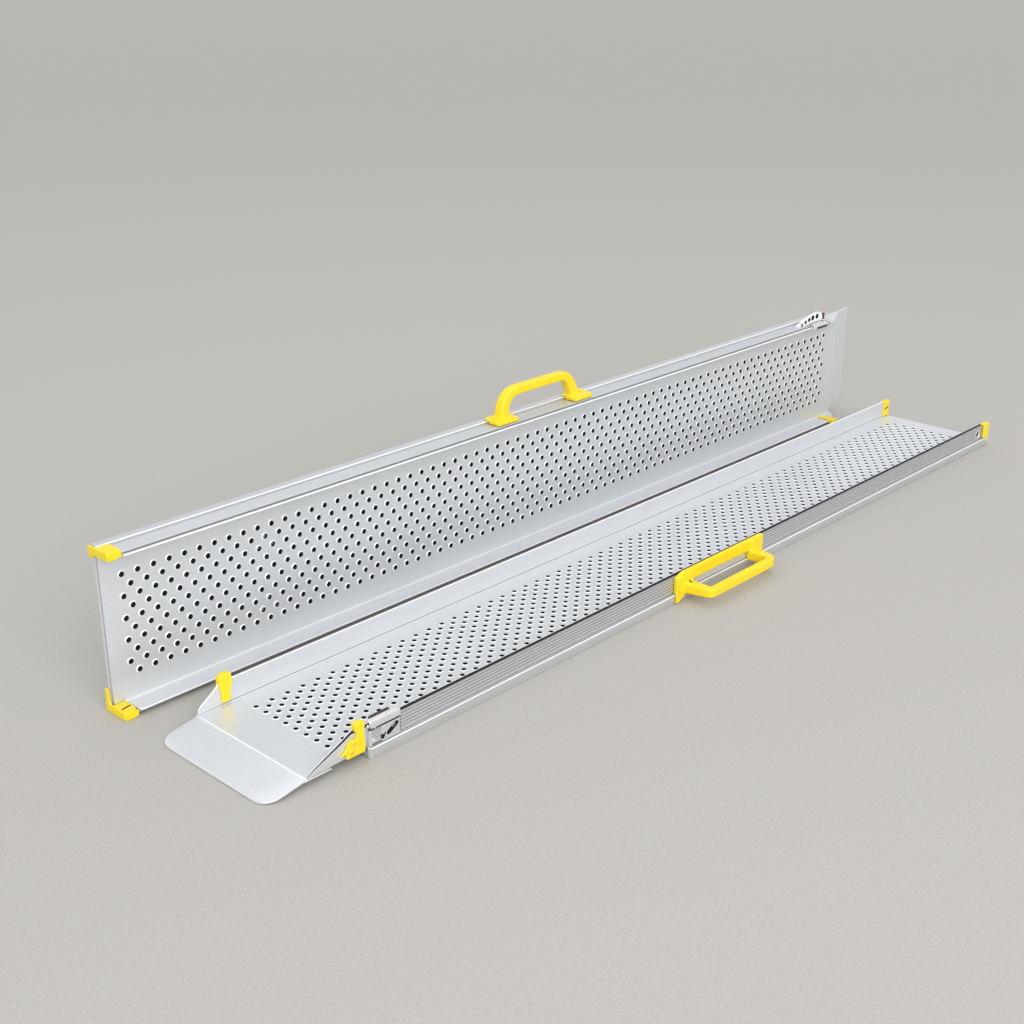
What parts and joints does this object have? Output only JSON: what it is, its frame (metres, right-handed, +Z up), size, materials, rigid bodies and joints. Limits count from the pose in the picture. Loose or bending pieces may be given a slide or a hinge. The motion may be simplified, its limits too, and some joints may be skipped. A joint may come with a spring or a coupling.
{
  "type": "portable wheelchair ramp",
  "caption": "telescopic perforated aluminium channel ramps with bow handles, tail caps, guide clips, bent lips and sprung locks, shown flat and stood on edge",
  "frame": {"origin": "centre of the pair's footprint, on the floor", "axes": "+X along the ramps, from the flat ramp's lip end towards its tail; +Y from the flat ramp towards the ramp standing on its side; +Z up"},
  "size_m": [1.69, 0.367, 0.265],
  "materials": {
    "aluminium": "satin",
    "yellow_plastic": "moulded",
    "grey_plastic": "moulded",
    "steel": "plated"
  },
  "bodies": {
    "front_outer_section": {"front_outer_deck": "aluminium", "front_outer_rail_handle": "aluminium", "front_outer_rail_plain": "aluminium", "front_tail_cap_handle": "yellow_plastic", "front_tail_cap_plain": "yellow_plastic", "front_handle": "yellow_plastic", "front_handle_screw_1": "steel", "front_handle_screw_2": "steel", "front_lock_block": "aluminium", "front_lock_pin": "steel", "front_lock_spring": "steel", "front_lock_screw_1": "steel", "front_lock_screw_2": "steel", "front_outer_stop_strip": "aluminium"},
    "front_inner_section": {"front_inner_channel": "aluminium", "front_lip_plate": "aluminium", "front_guide_clip_handle": "yellow_plastic", "front_guide_clip_plain": "yellow_plastic", "front_clip_rivet_plain": "steel", "front_clip_rivet_handle_1": "steel", "front_clip_rivet_handle_2": "steel", "front_inner_stop_pad_1": "grey_plastic", "front_inner_stop_pad_2": "grey_plastic"},
    "front_lock_lever": {"front_lock_lever": "steel"},
    "rear_outer_section": {"rear_outer_deck": "aluminium", "rear_outer_rail_handle": "aluminium", "rear_outer_rail_plain": "aluminium", "rear_tail_cap_handle": "yellow_plastic", "rear_tail_cap_plain": "yellow_plastic", "rear_handle": "yellow_plastic", "rear_handle_screw_1": "steel", "rear_handle_screw_2": "steel", "rear_lock_block": "aluminium", "rear_lock_pin": "steel", "rear_lock_spring": "steel", "rear_lock_screw_1": "steel", "rear_lock_screw_2": "steel", "rear_outer_stop_strip": "aluminium"},
    "rear_inner_section": {"rear_inner_channel": "aluminium", "rear_lip_plate": "aluminium", "rear_guide_clip_handle": "aluminium", "rear_guide_clip_plain": "yellow_plastic", "rear_clip_rivet_plain": "steel", "rear_clip_rivet_handle_1": "steel", "rear_clip_rivet_handle_2": "steel", "rear_inner_stop_pad_1": "grey_plastic", "rear_inner_stop_pad_2": "grey_plastic"},
    "rear_lock_lever": {"rear_lock_lever": "steel"}
  },
  "joints": [
    {"name": "front_telescope", "type": "slide", "parent": "front_outer_section", "child": "front_inner_section", "axis": [-1, 0, 0], "range_m": [0, 1.27]},
    {"name": "front_lock", "type": "hinge", "parent": "front_outer_section", "child": "front_lock_lever", "pos_m": [-0.67, -0.1356, 0.0474], "axis": [0, -1, 0], "range_deg": [0, 5], "stiffness_Nm_per_rad": 0.1, "springref_deg": -8.59},
    {"name": "rear_ramp_lift", "type": "slide", "parent": "front_outer_section", "child": "rear_outer_section", "axis": [0, 0, 1], "range_m": [0, 0.3]},
    {"name": "rear_telescope", "type": "slide", "parent": "rear_outer_section", "child": "rear_inner_section", "axis": [1, 0, 0], "range_m": [0, 1.27]},
    {"name": "rear_lock", "type": "hinge", "parent": "rear_outer_section", "child": "rear_lock_lever", "pos_m": [0.67, 0.1361, 0.2171], "axis": [0, 0, 1], "range_deg": [0, 5], "stiffness_Nm_per_rad": 0.1, "springref_deg": -8.59}
  ]
}
